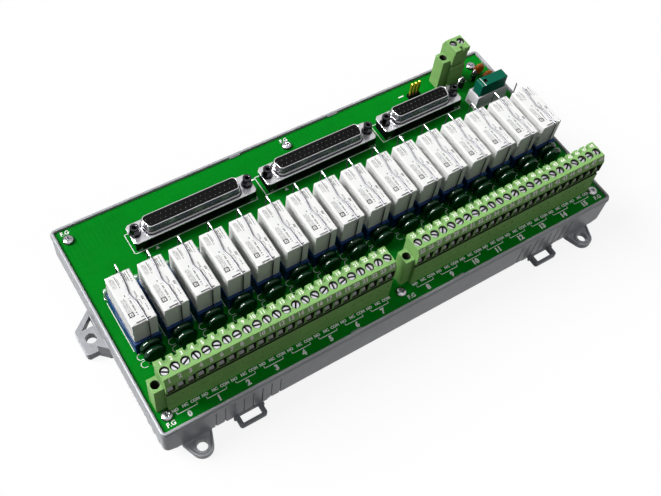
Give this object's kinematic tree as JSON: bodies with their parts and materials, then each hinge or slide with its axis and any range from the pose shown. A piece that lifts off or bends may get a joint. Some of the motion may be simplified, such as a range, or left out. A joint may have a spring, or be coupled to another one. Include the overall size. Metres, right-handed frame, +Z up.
{
  "type": "relay module board",
  "caption": "Relay interface board in a moulded rail tray, with pluggable screw terminals, socketed relays held by wire clips, D-sub connectors and sliding rail latches.",
  "frame": {"origin": "on the mounting plane under the middle of the board", "axes": "+X along the terminal blocks from the first pole to the last, +Y from the terminals to the connectors, +Z up from the mounting plane"},
  "size_m": [0.2942, 0.1458, 0.0538],
  "materials": {
    "tray_grey": "moulded, light grey",
    "latch_grey": "moulded, dark grey",
    "solder_mask": "green solder mask on glass laminate, white print",
    "screw_steel": "plated",
    "terminal_green": "moulded, green",
    "terminal_metal": "plated",
    "socket_blue": "moulded, blue",
    "relay_white": "moulded, white",
    "clip_wire": "drawn wire",
    "varistor_green": "dipped coating, dark green",
    "lamp_green": "clear tinted lens",
    "connector_black": "moulded, black",
    "shell_plating": "bright plating",
    "holder_white": "moulded, white",
    "fuse_teal": "moulded, teal",
    "capacitor_orange": "dipped coating, orange",
    "diode_black": "moulded, black",
    "header_gold": "black base, gold pins"
  },
  "bodies": {
    "module": {"base_tray": "tray_grey", "circuit_board": "solder_mask", "board_screws": "screw_steel", "terminal_header_left": "terminal_green", "terminal_header_right": "terminal_green", "terminal_header_power": "terminal_green", "terminal_plug_left": "terminal_green", "terminal_plug_right": "terminal_green", "terminal_plug_power": "terminal_green", "terminal_screws": "terminal_metal", "wire_clamps": "terminal_metal", "relay_clips": "clip_wire", "varistors": "varistor_green", "channel_lamps": "lamp_green", "connector_shell_left": "shell_plating", "connector_shell_middle": "shell_plating", "connector_shell_right": "shell_plating", "connector_body_left": "connector_black", "connector_body_middle": "connector_black", "connector_body_right": "connector_black", "jack_nuts": "screw_steel", "fuse_holder": "holder_white", "fuse": "fuse_teal", "jumper_header": "header_gold", "disc_capacitors": "capacitor_orange", "standing_diodes": "diode_black", "relay_0": "relay_white", "relay_socket_0": "socket_blue", "relay_1": "relay_white", "relay_socket_1": "socket_blue", "relay_2": "relay_white", "relay_socket_2": "socket_blue", "relay_3": "relay_white", "relay_socket_3": "socket_blue", "relay_4": "relay_white", "relay_socket_4": "socket_blue", "relay_5": "relay_white", "relay_socket_5": "socket_blue", "relay_6": "relay_white", "relay_socket_6": "socket_blue", "relay_7": "relay_white", "relay_socket_7": "socket_blue", "relay_8": "relay_white", "relay_socket_8": "socket_blue", "relay_9": "relay_white", "relay_socket_9": "socket_blue", "relay_10": "relay_white", "relay_socket_10": "socket_blue", "relay_11": "relay_white", "relay_socket_11": "socket_blue", "relay_12": "relay_white", "relay_socket_12": "socket_blue", "relay_13": "relay_white", "relay_socket_13": "socket_blue", "relay_14": "relay_white", "relay_socket_14": "socket_blue", "relay_15": "relay_white", "relay_socket_15": "socket_blue"},
    "latch_left": {"din_latch_left": "latch_grey"},
    "latch_right": {"din_latch_right": "latch_grey"}
  },
  "joints": [
    {"name": "left_latch_slide", "type": "slide", "parent": "module", "child": "latch_left", "axis": [0, -1, 0], "range_m": [0, 0.004]},
    {"name": "right_latch_slide", "type": "slide", "parent": "module", "child": "latch_right", "axis": [0, -1, 0], "range_m": [0, 0.004]}
  ]
}
